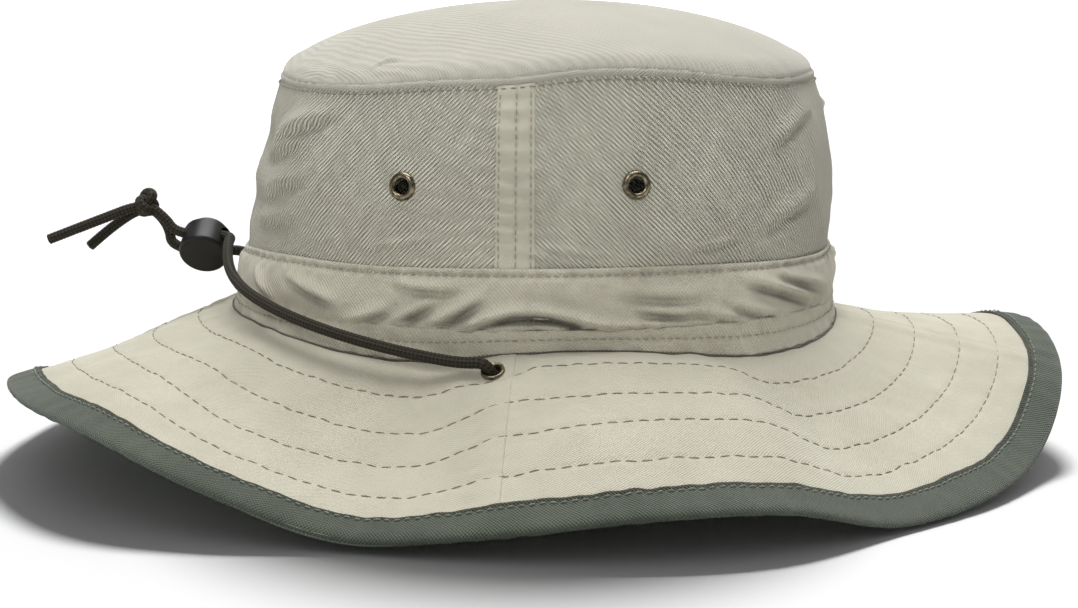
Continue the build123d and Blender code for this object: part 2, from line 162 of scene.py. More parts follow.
def ripples(azimuth, other, seed, count, waves, pitch):
    """Smooth noise round the hat: whole waves of azimuth, so that it closes on itself."""
    rng = np.random.default_rng(seed)
    total = 0.0
    for _ in range(count):
        wave = rng.integers(waves[0], waves[1] + 1) * rng.choice((-1, 1))
        tall = rng.uniform(0.3, 1.0) * 2 * math.pi / pitch
        total = total + np.sin(wave * np.radians(azimuth) + tall * other + rng.uniform(0, 6.28))
    return total / math.sqrt(count / 2)


def crease(x, y, path, width, height):
    """A fold along a path of points: a ridge with a groove at its lower side."""
    path = np.asarray(path, float)
    best = np.full(np.shape(x), 1e9)
    side = np.zeros(np.shape(x))
    place = np.zeros(np.shape(x))
    steps = np.hypot(*np.diff(path, axis=0).T)
    begun = np.concatenate([[0], np.cumsum(steps)])
    for k in range(len(path) - 1):
        step = path[k + 1] - path[k]
        t = ((x - path[k, 0]) * step[0] + (y - path[k, 1]) * step[1]) / (step @ step)
        t = np.clip(t, 0, 1)
        dx, dy = x - path[k, 0] - t * step[0], y - path[k, 1] - t * step[1]
        gap = np.hypot(dx, dy)
        near = gap < best
        best = np.where(near, gap, best)
        side = np.where(near, np.sign(step[0] * dy - step[1] * dx), side)
        place = np.where(near, (begun[k] + t * steps[k]) / begun[-1], place)
    across = best * side
    fade = np.clip(np.sin(np.pi * np.clip(place, 0.02, 0.98)), 0, 1) ** 0.7
    ridge = bell(across, 0, width)
    groove = bell(across, -1.3 * width, 0.62 * width)
    return height * fade * (ridge - 0.9 * groove)


def bezier(points):
    """Nine points along the curve that a few given control points make."""
    points = np.asarray(points, float)
    t = np.linspace(0, 1, 9)[:, None]
    while len(points) > 1:
        points = [a * (1 - t) + b * t for a, b in zip(points, points[1:])]
    return points[0]


# ---- mesh helpers
def new_object(name, verts, blocks, material, word="cloth"):
    """One smooth mesh. blocks are (faces, corner UVs or None) pairs; a face has 3 or 4 corners.

    A piece with the name of a CAD node replaces it, and has one more word in its own name.
    """
    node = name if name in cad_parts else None
    name = name + "_" + word if node else name
    mesh = bpy.data.meshes.new(name)
    mesh.vertices.add(len(verts))
    mesh.vertices.foreach_set("co", (np.asarray(verts, np.float32) * MM).ravel())
    faces = [np.asarray(block, np.int32) for block, _ in blocks]
    loops = np.concatenate([block.ravel() for block in faces])
    ends = np.cumsum(np.concatenate([np.full(len(block), block.shape[1]) for block in faces]))
    mesh.loops.add(len(loops))
    mesh.loops.foreach_set("vertex_index", loops)
    mesh.polygons.add(len(ends))
    mesh.polygons.foreach_set("loop_start", np.append(0, ends[:-1]).astype(np.int32))
    mesh.polygons.foreach_set("use_smooth", np.ones(len(ends), bool))
    if blocks[0][1] is not None:
        flat = [np.zeros((block.size, 2)) if uv is None else np.reshape(uv, (-1, 2))
                for block, (_, uv) in zip(faces, blocks)]
        layer = mesh.uv_layers.new(name="cloth")
        layer.data.foreach_set("uv", (np.concatenate(flat).astype(np.float32) * MM).ravel())
    mesh.update(calc_edges=True)
    mesh.validate()
    mesh.materials.append(material)
    obj = bpy.data.objects.new(name, mesh)
    bpy.context.collection.objects.link(obj)
    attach(obj, "hat")
    if node:
        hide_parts(node)
    return obj


def unit(vector):
    return vector / np.linalg.norm(vector, axis=-1, keepdims=True)


def run_length(line):
    """Length along a line of points, at each of them."""
    return np.append(0, np.cumsum(np.linalg.norm(np.diff(line, axis=0), axis=1)))


def square_frame(axis, hint):
    """Two directions square to an axis and to each other, and the axis itself."""
    axis = unit(np.asarray(axis, float))
    first = unit(np.cross(axis, hint))
    return first, np.cross(axis, first), axis


def grid_normals(points, wrap):
    """Unit normals of a grid of points, on the side that faces out of the hat or up."""
    if wrap:
        along = np.roll(points, -1, 0) - np.roll(points, 1, 0)
    else:
        along = np.gradient(points, axis=0)
    normal = np.cross(along, np.gradient(points, axis=1))
    return normal / np.maximum(np.linalg.norm(normal, axis=-1, keepdims=True), 1e-9)


def shell(name, points, thickness, uv, material, wrap=False, holes=()):
    """A closed sheet of cloth: the outer face is points, the inner one lies thickness below it.

    points and uv are grids. holes are (centre, radius) pairs that are left out of both faces.
    """
    rows, columns = points.shape[:2]
    inside = points - grid_normals(points, wrap) * thickness
    verts = np.concatenate([points.reshape(-1, 3), inside.reshape(-1, 3)])
    i, j = np.meshgrid(np.arange(rows if wrap else rows - 1), np.arange(columns - 1), indexing="ij")
    square = [(i, j), (i + 1, j), (i + 1, j + 1), (i, j + 1)]
    middle = sum(points[a % rows, b] for a, b in square) / 4
    keep = np.ones(i.shape, bool)
    for centre, radius in holes:
        keep &= np.linalg.norm(middle - np.asarray(centre), axis=-1) > radius
    faces, corners = [], []

    def add(cells, places, inner):
        index = [a % rows * columns + b + rows * columns * deep for (a, b), deep in zip(places, inner)]
        faces.append(np.stack(index, -1)[cells])
        corners.append(np.stack([uv[a, b] for a, b in places], -2)[cells])

    add(keep, square, (0, 0, 0, 0))
    add(keep, square[::-1], (1, 1, 1, 1))
    # rims: wherever a kept cell meets a missing one
    beside = np.pad(keep, 1)
    if wrap:
        beside[0], beside[-1] = beside[-2].copy(), beside[1].copy()
    for near, first, second in ((beside[:-2, 1:-1], (i, j + 1), (i, j)),
                                (beside[2:, 1:-1], (i + 1, j), (i + 1, j + 1)),
                                (beside[1:-1, :-2], (i, j), (i + 1, j)),
                                (beside[1:-1, 2:], (i + 1, j + 1), (i, j + 1))):
        add(keep & ~near, [second, first, first, second], (0, 0, 1, 1))
    used, faces = np.unique(np.concatenate(faces), return_inverse=True)
    return new_object(name, verts[used], [(faces.reshape(-1, 4), np.concatenate(corners))], material)


def tube(name, path, radius, material, sides=24, closed=False, height=None):
    """A round tube along a dense path. height(place, angle) gives its surface detail, in mm."""
    count = len(path)
    tangent = unit(np.roll(path, -1, 0) - np.roll(path, 1, 0) if closed else np.gradient(path, axis=0))
    side = np.zeros_like(path)
    side[0] = unit(np.cross(tangent[0], [0.3, 0.2, 0.93]))
    for k in range(1, count):
        side[k] = unit(side[k - 1] - tangent[k] * (side[k - 1] @ tangent[k]))
    up = np.cross(tangent, side)
    place = run_length(path)
    spokes = np.arange(sides) * 2 * math.pi / sides
    angle = np.repeat(spokes[None, :], count, 0)
    if closed:
        turn = math.atan2(side[-1] @ up[0], side[-1] @ side[0])
        angle = angle - turn * (place / place[-1])[:, None]
    radii = np.full((count, 1), float(radius))
    if height is not None:
        radii = radii + height(place[:, None], spokes[None, :])
    ring = side[:, None] * np.cos(angle)[..., None] + up[:, None] * np.sin(angle)[..., None]
    verts = (path[:, None] + ring * np.broadcast_to(radii, (count, sides))[..., None]).reshape(-1, 3)
    i, j = np.meshgrid(np.arange(count if closed else count - 1), np.arange(sides), indexing="ij")
    corners = ((i, j), (i + 1, j), (i + 1, j + 1), (i, j + 1))
    faces = np.stack([a % count * sides + b % sides for a, b in corners], -1).reshape(-1, 4)
    far = np.append(place, 2 * place[-1] - place[-2])
    girth = 2 * math.pi * float(np.mean(radii)) / sides
    blocks = [(faces, np.stack([np.stack([far[a], b * girth], -1) for a, b in corners], -2))]
    if not closed:
        verts = np.concatenate([verts, [path[0] - tangent[0] * 0.25 * radii[0, 0]],
                                [path[-1] + tangent[-1] * 0.25 * radii[-1, 0]]])
        tip = count * sides
        here, last = np.arange(sides), (count - 1) * sides
        after = (here + 1) % sides
        blocks.append((np.concatenate([np.stack([here * 0 + tip, here, after], -1),
                                       np.stack([here * 0 + tip + 1, last + after, last + here], -1)]), None))
    return new_object(name, verts, blocks, material, "braid")


# ---- materials
class Nodes:
    """One material's node tree, with a short name for each kind of node that is used here."""

    def __init__(self, name, roughness, **settings):
        self.mat = bpy.data.materials.new(name)
        self.mat.use_nodes = True
        self.tree = self.mat.node_tree
        self.shader = self.tree.nodes["Principled BSDF"]
        self.shader.inputs["Roughness"].default_value = roughness
        for key, setting in settings.items():
            self.shader.inputs[key.replace("_", " ")].default_value = setting

    def put(self, source, socket):
        """Link a source to a socket, or set the socket to a number or a colour."""
        if isinstance(source, bpy.types.NodeSocket):
            self.tree.links.new(source, socket)
        else:
            socket.default_value = (*source, 1) if isinstance(source, tuple) else source

    def new(self, kind, sources=(), **settings):
        """The outputs of a new node; sources are (input, source) pairs."""
        node = self.tree.nodes.new("ShaderNode" + kind)
        for key, setting in settings.items():
            setattr(node, key, setting)
        for socket, source in sources:
            self.put(source, node.inputs[socket])
        return node.outputs

    def maths(self, operation, *sources):
        return self.new("Math", enumerate(sources), operation=operation)[0]

    def add(self, first, second):
        return self.maths("ADD", first, second)

    def less(self, first, second):
        return self.maths("SUBTRACT", first, second)

    def times(self, first, second):
        return self.maths("MULTIPLY", first, second)

    def sine(self, source):
        return self.maths("SINE", source)

    def noise(self, vector, scale, detail=3.0, roughness=0.55):
        return self.new("TexNoise", [("Vector", vector), ("Scale", scale), ("Detail", detail),
                                     ("Roughness", roughness)])[0]

    def bump(self, height, distance, under=None):
        sources = [("Height", height), ("Distance", distance), ("Strength", 1.0)]
        return self.new("Bump", sources + ([("Normal", under)] if under is not None else []))[0]

    def ramp(self, source, low, dark, high, light):
        """From dark at low to light at high."""
        colour = self.new("ValToRGB", [(0, source)])[0]
        for element, place, shade in zip(colour.node.color_ramp.elements, (low, high), (dark, light)):
            element.position = place
            element.color = (*shade, 1)
        return colour

    def mix(self, share, first, second):
        return self.new("Mix", [(0, share), (6, first), (7, second)], data_type="RGBA")[2]

    def uv(self):
        """The piece's own length coordinates, in metres, together and one by one."""
        both = self.new("UVMap", uv_map="cloth")[0]
        return (both, *self.new("SeparateXYZ", [(0, both)])[:2])

    def place(self):
        return self.new("TexCoord")["Object"]

    def done(self, **sources):
        for key, source in sources.items():
            self.put(source, self.shader.inputs[key.replace("_", " ")])
        return self.mat


def scaled(colour, share):
    return tuple(channel * share for channel in colour)


def cloth(name, dark, light, pitch=0.55, ripple=0.0, crinkle=0.25, weave=0.10, fold_shade=0.0):
    """Twill: fine diagonal ribs crossed by the weft, soft crinkles, and a colour that drifts a little.

    pitch and the heights of ripples, crinkles and weave are in mm. The colour carries painted shade: the weave's low
    lines, the ripples' troughs and, through the last argument, the folds that ambient occlusion finds are darkened.
    """
    n = Nodes(name, 0.86, Sheen_Weight=0.25, Sheen_Roughness=0.5, Specular_IOR_Level=0.2)
    _, u, v = n.uv()
    place = n.place()
    turn = 2 * math.pi / (pitch * MM) * 0.7071
    wobble = n.times(n.noise(place, 900.0, 2.0), 1.6)
    ribs = n.sine(n.add(n.times(n.add(u, v), turn), wobble))
    picks = n.sine(n.add(n.times(n.less(u, v), turn), wobble))
    weave_height = n.add(ribs, n.times(picks, 0.6))
    crumple = n.noise(place, 160.0, 4.0, 0.6)
    normal = n.bump(weave_height, weave * MM * 0.6)
    normal = n.bump(crumple, crinkle * MM * 3.0, normal)
    # The colour drifts at random, and a quarter of the drift follows the crinkles' height: faint painted shade in
    # their hollows.
    drift_and_crinkle_shade = n.add(n.times(n.noise(place, 45.0, 3.0, 0.5), 0.75), n.times(crumple, 0.25))
    thread = n.maths("MULTIPLY_ADD", weave_height, 0.5, 0.5)
    # painted shade: the low lines between the weave's ribs are darkened towards a darker copy of the cloth colour
    shade = n.mix(n.times(n.less(1.0, thread), 0.22), n.ramp(drift_and_crinkle_shade, 0.36, dark, 0.64, light), scaled(dark, 0.80))
    if ripple:
        slope = n.add(n.add(n.times(u, 0.70), n.times(v, 0.71)), n.times(n.times(u, v), 6.0))
        pull = n.times(n.noise(place, 38.0, 3.0), 20.0)
        lines = n.sine(n.add(n.times(slope, 2 * math.pi / RIPPLE_PITCH), pull))
        normal = n.bump(lines, ripple * MM, normal)
        # painted shade: the ripples' troughs are darkened along with their bump
        shade = n.mix(n.times(n.less(1.0, lines), ripple * 1.3), shade, scaled(dark, 0.72))
    if fold_shade:
        # painted shade: ambient occlusion darkens the folds and hollows towards a dark copy of the cloth colour
        shelter = n.new("AmbientOcclusion", [("Distance", 0.005)], samples=8, only_local=True)["AO"]
        shade = n.mix(n.times(n.less(1.0, shelter), fold_shade), shade, scaled(dark, 0.42))
    return n.done(Normal=normal, Base_Color=shade)


def thread_material(name, dark, light):
    """Twisted sewing thread, with a fine grain."""
    n = Nodes(name, 0.7, Sheen_Weight=0.2, Specular_IOR_Level=0.35)
    place = n.place()
    return n.done(Normal=n.bump(n.noise(place, 2400.0, 2.0), 0.00012),
                  Base_Color=n.ramp(n.noise(place, 300.0, 2.0), 0.35, dark, 0.65, light))


def metal_material(name, dark, light, roughness):
    """Metal mottled by noise from dark to light: partly wear, and the light patches are partly painted highlights."""
    n = Nodes(name, roughness, Metallic=1.0)
    place = n.place()
    wear_and_highlight = n.noise(place, 700.0, 5.0, 0.65)
    rough = n.add(n.times(n.noise(place, 1500.0, 3.0), 0.3), roughness - 0.12)
    return n.done(Normal=n.bump(wear_and_highlight, 0.00006), Base_Color=n.ramp(wear_and_highlight, 0.38, dark, 0.66, light), Roughness=rough)


def plastic_material(name, dark, light, roughness):
    """Moulded black plastic with a faint spark-eroded grain and a few rubbed patches."""
    n = Nodes(name, roughness, Specular_IOR_Level=0.32, Coat_Weight=0.05, Coat_Roughness=0.25)
    place = n.place()
    rubbed = n.noise(place, 130.0, 4.0)
    return n.done(Normal=n.bump(n.noise(place, 2600.0, 3.0), 0.00005),
                  Base_Color=n.ramp(rubbed, 0.4, dark, 0.65, light),
                  Roughness=n.add(n.times(rubbed, 0.25), roughness - 0.12))


def braid_material(name, dark, light, pitch=2.6, sides=8):
    """Braided cord: crossing strands from the tube's own length and girth coordinates."""
    n = Nodes(name, 0.7, Sheen_Weight=0.04, Specular_IOR_Level=0.22)
    both, u, v = n.uv()
    along = n.times(u, 2 * math.pi / (pitch * MM))
    round_it = n.times(v, sides / CORD / MM)
    strand = n.times(n.sine(n.add(along, round_it)), n.sine(n.less(along, round_it)))
    normal = n.bump(n.noise(both, 5200.0, 2.0), 0.00008, n.bump(strand, 0.00016))
    # painted shade: the braid's colour follows the strands' height, darker in the low crossings where shade falls
    share = n.maths("MULTIPLY_ADD", strand, 0.35, 0.5)
    return n.done(Normal=normal, Base_Color=n.ramp(share, 0.15, dark, 0.85, light))


# The crown wall, tip and brim are one stone cloth; the tip and brim get darker colours than the wall, painted shade
# that offsets the stronger light from above on them.
CROWN_CLOTH = cloth("crown_cloth", (0.73, 0.705, 0.57), (0.83, 0.81, 0.665), ripple=0.30, crinkle=0.2, fold_shade=0.8)
STRIP_CLOTH = cloth("seam_strip_cloth", (0.60, 0.58, 0.465), (0.69, 0.67, 0.54), crinkle=0.35, fold_shade=1.0)
TIP_CLOTH = cloth("tip_cloth", (0.57, 0.553, 0.47), (0.63, 0.61, 0.52), ripple=0.09, crinkle=0.10)
BAND_CLOTH = cloth("band_cloth", (0.55, 0.52, 0.415), (0.66, 0.63, 0.51), pitch=0.85, crinkle=0.14, weave=0.16,
                   fold_shade=2.2)
BRIM_CLOTH = cloth("brim_cloth", (0.53, 0.503, 0.397), (0.59, 0.562, 0.455), crinkle=0.16)
UNDER_CLOTH = cloth("under_cloth", (0.125, 0.145, 0.11), (0.17, 0.195, 0.15), crinkle=0.12)
BINDING_CLOTH = cloth("binding_cloth", (0.070, 0.086, 0.061), (0.098, 0.115, 0.084), pitch=0.8, crinkle=0.1, weave=0.2)
# A darker copy of the binding's cloth for its folded inner edges: painted shade in the crease where the binding meets
# the brim.
BINDING_EDGE_SHADE = cloth("binding_edge_painted_shade", (0.030, 0.034, 0.020), (0.055, 0.060, 0.038), pitch=0.8, weave=0.2)
SWEAT_CLOTH = cloth("sweatband_cloth", (0.17, 0.175, 0.135), (0.23, 0.235, 0.185), pitch=1.1, crinkle=0.2, weave=0.3)
LABEL_CLOTH = cloth("label_cloth", (0.72, 0.70, 0.65), (0.80, 0.79, 0.74), pitch=0.45)
LINING_CLOTH = cloth("interlining_cloth", (0.68, 0.66, 0.60), (0.76, 0.74, 0.69), pitch=0.9)
ROW_THREAD = thread_material("row_thread", (0.21, 0.185, 0.135), (0.30, 0.265, 0.20))
SEAM_THREAD = thread_material("seam_thread", (0.33, 0.30, 0.235), (0.43, 0.40, 0.32))
# A dark thread colour for the line at the brim's join: painted shadow for the gap between the hem and the brim.
JOIN_SHADOW_THREAD = thread_material("join_painted_shadow", (0.06, 0.055, 0.04), (0.11, 0.10, 0.075))
BINDING_THREAD = thread_material("binding_thread", (0.16, 0.19, 0.14), (0.23, 0.26, 0.20))
BRASS = metal_material("eyelet_brass", (0.09, 0.076, 0.05), (0.36, 0.31, 0.215), 0.30)
STEEL = metal_material("spring_steel", (0.30, 0.30, 0.30), (0.55, 0.55, 0.54), 0.3)
LOCK_BLACK = plastic_material("lock_plastic", (0.006, 0.006, 0.0065), (0.011, 0.011, 0.012), 0.42)
BUTTON_BLACK = plastic_material("button_plastic", (0.014, 0.014, 0.015), (0.022, 0.022, 0.024), 0.36)
CORD_BRAID = braid_material("cord_braid", (0.012, 0.010, 0.006), (0.046, 0.040, 0.027))


# ---- the chin cord and its knots
# Both strands: out of the brim eyelet, round the band to the back, out through the cord lock,
# into the tail knot and on to a short free end. The same points as the CAD tubes, in metres.
RIGHT_ROUTE = [
    (-0.0032, -0.0912, 0.0372), (-0.0043, -0.0958, 0.0454), (-0.0136, -0.0933, 0.0444), (-0.0280, -0.0910, 0.0463),
    (-0.0440, -0.0866, 0.0490), (-0.0590, -0.0796, 0.0518), (-0.0726, -0.0700, 0.0546), (-0.0850, -0.0578, 0.0576),
    (-0.0946, -0.0434, 0.0604), (-0.1014, -0.0270, 0.0640), (-0.1052, -0.0110, 0.0690), (-0.1056, -0.0020, 0.0707),
    (-0.1254, -0.0020, 0.0707), (-0.1300, -0.0012, 0.0768), (-0.1366, -0.0019, 0.0818), (-0.1530, -0.0034, 0.0756),
    (-0.1706, -0.0046, 0.0688)]
LEFT_ROUTE = [
    (-0.0035, 0.0920, 0.0384), (-0.0041, 0.0959, 0.0469), (-0.0135, 0.0931, 0.0463), (-0.0280, 0.0910, 0.0468),
    (-0.0440, 0.0866, 0.0476), (-0.0590, 0.0796, 0.0496), (-0.0726, 0.0700, 0.0516), (-0.0850, 0.0578, 0.0540),
    (-0.0946, 0.0434, 0.0564), (-0.1014, 0.0270, 0.0592), (-0.1052, 0.0110, 0.0632), (-0.1056, 0.0020, 0.0649),
    (-0.1284, 0.0020, 0.0649), (-0.1296, 0.0034, 0.0734), (-0.1362, 0.0020, 0.0806), (-0.1480, 0.0034, 0.0746),
    (-0.1588, 0.0046, 0.0654)]


def nurbs(name, route):
    data = bpy.data.curves.new(name, "CURVE")
    data.dimensions = "3D"
    data.resolution_u = 24
    spline = data.splines.new("NURBS")
    spline.points.add(len(route) - 1)
    for point, place in zip(spline.points, route):
        point.co = (*place, 1.0)
    spline.order_u = 3
    spline.use_endpoint_u = True
    obj = bpy.data.objects.new(name, data)
    bpy.context.collection.objects.link(obj)
    return obj


def spline_path(route):
    """Points in mm along the route's own NURBS curve, read back from Blender."""
    guide = nurbs("guide", route)
    bpy.context.view_layer.update()
    shown = guide.evaluated_get(bpy.context.evaluated_depsgraph_get())
    mesh = bpy.data.meshes.new_from_object(shown)
    path = np.array([vert.co for vert in mesh.vertices], float)
    data = guide.data
    bpy.data.objects.remove(guide)
    bpy.data.curves.remove(data)
    bpy.data.meshes.remove(mesh)
    return path / MM


def resampled(path, step):
    """The same line with points at equal steps."""
    place = run_length(path)
    want = np.linspace(0, place[-1], max(8, int(place[-1] / step)))
    return np.stack([np.interp(want, place, path[:, k]) for k in range(3)], -1)


def braid(place, angle, plaits=6, lay=7.5, height=0.13):
    """Surface of a round braid: strands that go over and under each other."""
    turn = 2 * math.pi * place / lay
    one = np.cos(plaits * (angle - turn))
    other = np.cos(plaits * (angle + turn))
    return height * (np.maximum(one, other) - 0.1)


def cord_strand(name, route):
    """A braided strand along its route: the piece, its path in mm and its length in mm."""
    path = resampled(spline_path(route), 0.28)
    obj = tube(name, path, CORD / 2, CORD_BRAID, sides=48, height=braid)
    return obj, path, float(run_length(path)[-1])


# ---- cloth surfaces with their folds
VENTS = [side * angle for side in (1, -1) for angle in (FRONT_VENT_AZIMUTH, BACK_VENT_AZIMUTH)]
WALL_FOLDS = [  # azimuth and height along each fold, its half width and its height
    ([(-150, 64), (-141, 71), (-128, 74)], 3.2, 1.3), ([(-158, 57), (-148, 60), (-138, 66)], 3.6, 1.1),
    ([(-153, 44), (-144, 50), (-134, 53)], 3.4, 1.2), ([(-158, 34), (-148, 38), (-138, 38)], 3.4, 1.1),
    ([(-87, 31.5), (-83, 29.5), (-79, 27.5)], 1.0, 0.9), ([(-84, 33), (-79, 31), (-73, 30)], 1.1, 0.8),
    ([(-60, 30), (-52, 33), (-45, 33)], 1.3, 0.6), ([(-118, 30), (-110, 34), (-104, 34)], 1.3, 0.6),
    ([(-36, 62), (-27, 70), (-18, 73)], 3.0, 0.9), ([(-40, 36), (-30, 43), (-20, 46)], 3.0, 0.9)]
BAND_FOLDS = [
    ([(-121, 6.5), (-117, 10), (-112, 13)], 2.0, 1.5), ([(-113, 7), (-108, 12), (-103, 16)], 1.9, 1.3),
    ([(-106, 6.5), (-101, 11), (-95, 17.5)], 2.0, 1.7), ([(-99, 6.5), (-94, 11), (-88, 14.5)], 1.8, 1.6),
    ([(-94, 7.6), (-88, 8.6), (-79, 8.4)], 1.2, 1.5),
    ([(-92.5, 11.5), (-86.5, 14.6), (-81.5, 14.2), (-78.5, 10.5), (-75.5, 8.6), (-70, 8.2)], 1.9, 2.6),
    ([(-77, 8.6), (-68, 8.2), (-58, 8.4), (-50, 8.4)], 1.1, 1.3),
    ([(-56, 12.5), (-50, 9.5), (-43, 7)], 1.7, 1.4), ([(-49, 13.5), (-41, 10), (-32, 7)], 1.8, 1.5),
    ([(-46, 21), (-34, 16.5), (-23, 10.8)], 2.0, 1.7), ([(-38, 22), (-27, 18), (-17, 14)], 1.9, 1.2),
    ([(-137, 20), (-129, 15.5), (-122, 13)], 2.0, 1.3), ([(-150, 20), (-143, 14), (-138, 9)], 2.0, 1.3),
    ([(-72, 19.5), (-63, 17), (-54, 17.5)], 2.2, 0.9), ([(-112, 21.5), (-106, 19), (-98, 20)], 1.8, 0.9),
    ([(-68, 14), (-61, 11.5), (-55, 12)], 1.7, 1.0)]


def more_folds(seed, count, heights, reach, rise):
    """Short seeded folds on the far side, so that it isn't smoother than the near side."""
    rng = np.random.default_rng(seed)
    found = []
    for _ in range(count):
        azimuth, height = rng.uniform(0, 195), rng.uniform(*heights)
        run, climb = rng.uniform(*reach), rng.uniform(-rise, rise)
        path = [(azimuth, height), (azimuth + run / 2, height + climb * 0.7), (azimuth + run, height + climb)]
        found.append((path, rng.uniform(1.1, 1.6), rng.uniform(0.5, 1.1)))
    return found


WALL_FOLDS += more_folds(5, 9, (32, 72), (8, 16), 6)
BAND_FOLDS += [(path, width * 1.4, rise * 1.5) for path, width, rise in more_folds(6, 14, (9, 20), (8, 15), 6)]


def fold_sum(azimuth, height, folds):
    """All folds of a list; paths are laid out in mm along the oval and up the cloth."""
    total = np.zeros(np.broadcast(azimuth, height).shape)
    azimuth, height = np.broadcast_arrays(azimuth, height)
    for path, width, rise in folds:
        middle = np.mean([point[0] for point in path])
        places = [(arc_length(point[0] - middle), point[1]) for point in path]
        total += crease(arc_length(turned(azimuth, middle)), height, bezier(places), width, rise)
    return total


def wall_relief(azimuth, height):
    free = np.clip((TOP_SEAM_HEIGHT - height) / 9, 0, 1) * np.clip((height - 25.5) / 7, 0.05, 1)
    for vent in VENTS:
        gap = np.hypot(arc_length(turned(azimuth, vent)), height - VENT_HEIGHT)
        free = free * np.clip((gap - 4.5) / 6, 0, 1)
    relief = 0.55 * ripples(azimuth, height, 11, 7, (3, 9), 75)
    relief = relief + 0.24 * ripples(azimuth, height, 12, 12, (10, 30), 26)
    relief = relief + 0.10 * ripples(azimuth, height, 13, 16, (34, 80), 10)
    relief = relief + 1.6 * fold_sum(azimuth, height, WALL_FOLDS)
    pucker = np.sin(height * 2 * math.pi / 5.2 + 1.6 * np.sin(height / 7.0) + azimuth * 0.12)
    relief = relief + 0.42 * bell(side_gap(azimuth), 0, 9.0) * pucker
    hollows = 3.0 * bell(turned(azimuth, -165), 0, 13) * (bell(height, 59, 7) + 0.8 * bell(height, 39, 6))
    return (relief - hollows) * free


def wall_surface(azimuth, height):
    climb = np.clip((height - 30) / (TOP_SEAM_HEIGHT - 30), 0, 1)
    foot = np.clip((SHOULDER - height) / (SHOULDER - 4), 0, 1)
    out = wall_out(azimuth, np.maximum(height, SHOULDER)) * (1 - foot) - 2.6 * foot
    out = out + wall_relief(azimuth, height)
    return ring_point(azimuth, out, BASE_HEIGHT + height + at(TOP_WAVE, azimuth) * climb**1.5)


def tip_surface(azimuth, rise):
    """rise is an angle: 0 at the top seam and 90 at the middle of the tip."""
    edge = ring_point(azimuth, wall_out(azimuth, TOP_SEAM_HEIGHT) - 0.2, BASE_HEIGHT + TOP_SEAM_HEIGHT)
    middle = np.array([CROWN_LEAN * TOP_SEAM_HEIGHT, 0.0, 0.0])
    across, up = np.cos(np.radians(rise)), np.sin(np.radians(rise))
    reach = 82.0 * (1 - across)
    relief = 0.45 * ripples(azimuth, reach * 0.4, 21, 7, (2, 6), 40) * across
    relief = relief + 0.12 * np.exp(-reach / 4.0) * ripples(azimuth, reach, 22, 9, (30, 90), 9)
    relief = relief + 0.9 * bell(reach, 2.5, 3.0)
    tuck = crease(arc_length(turned(azimuth, -119)), reach, [(-5, 3.0), (0, 6.0), (7, 6.5)], 1.0, 0.8)
    relief = relief + tuck
    flat = middle + (edge - middle) * across[..., None]
    lift = DOME_RISE * up**1.2 + at(TOP_WAVE, azimuth) * across**3 + relief * (0.35 + 0.65 * up)
    outward_x, outward_y = outward(azimuth)
    shift = relief * across * 0.5
    return np.stack([flat[..., 0] + outward_x * shift, flat[..., 1] + outward_y * shift,
                     BASE_HEIGHT + TOP_SEAM_HEIGHT + 0.4 + lift], -1)


def band_relief(azimuth, height):
    free = np.clip((height - 5.8) / 4, 0, 1) * np.clip((26.5 - height) / 5, 0, 1)
    relief = 0.55 * ripples(azimuth, height, 31, 9, (6, 18), 30)
    relief = relief + 0.12 * ripples(azimuth, height, 32, 14, (24, 60), 13)
    relief = relief + 1.35 * fold_sum(azimuth, height, BAND_FOLDS)
    gather = 0.22 * ripples(azimuth, height * 0.3, 33, 12, (60, 120), 30)
    edge = bell(height, 7.5, 2.5) + bell(height, 22.0, 2.5)
    return relief * free + gather * edge * np.clip((height - 6.5) / 1.5, 0, 1)


def band_surface(azimuth, height):
    """A bulging strip: its top edge is folded, with a stitched channel just below it."""
    top = wall_out(azimuth, SHOULDER) + 0.9
    share = np.clip((height - BAND_LOW) / (BAND_HIGH - BAND_LOW), 0, 1)
    out = -0.5 * (1 - share) + top * share + 1.1 * np.sin(np.pi * share) ** 0.8
    out = out - 0.75 * bell(height, BAND_HIGH - TOP_STITCH_DROP, 0.8) + band_relief(azimuth, height)
    out = out + 1.3 * bell(turned(azimuth, -160), 0, 16) * np.sin(np.pi * share)
    return ring_point(azimuth, out, BASE_HEIGHT + height + at(BAND_WAVE, azimuth) * share**1.5)


def hem_surface(azimuth, share):
    """From the brim seam, share 0, up to the band's lower edge, share 1."""
    low = at(BASE_WAVE, azimuth) - 0.3
    height = low + (BAND_LOW + 0.6 - low) * share
    out = 0.9 - 1.3 * share - 0.35 * bell(share, 0.55, 0.10)
    out = out + 0.16 * ripples(azimuth, height, 41, 10, (30, 90), 10)
    return ring_point(azimuth, out, BASE_HEIGHT + height)


BRIM_SWELLS = [  # azimuth where each starts and ends, how wide its flanks are, and its height
    (-96, -50, 13, 4.6), (-134, -92, 14, -3.8), (-48, -22, 12, -1.6), (150, 172, 14, 2.5),
    (96, 128, 14, -2.5), (52, 84, 14, 3.0), (10, 36, 14, -2.0)]


def brim_swell(azimuth, reach):
    """The cloth bows up or down between the base seam and the binding."""
    total = 0.0
    for first, last, flank, height in BRIM_SWELLS:
        middle = (first + last) / 2
        gap = np.abs(turned(azimuth, middle)) - (last - first) / 2
        along = 1 - ramp_up(gap, -flank / 2, flank / 2)
        rise = ramp_up(reach, 0, 16 if height > 0 else 30)
        total = total + height * along * rise * (1 - ramp_up(reach, 40, 74))
    return total


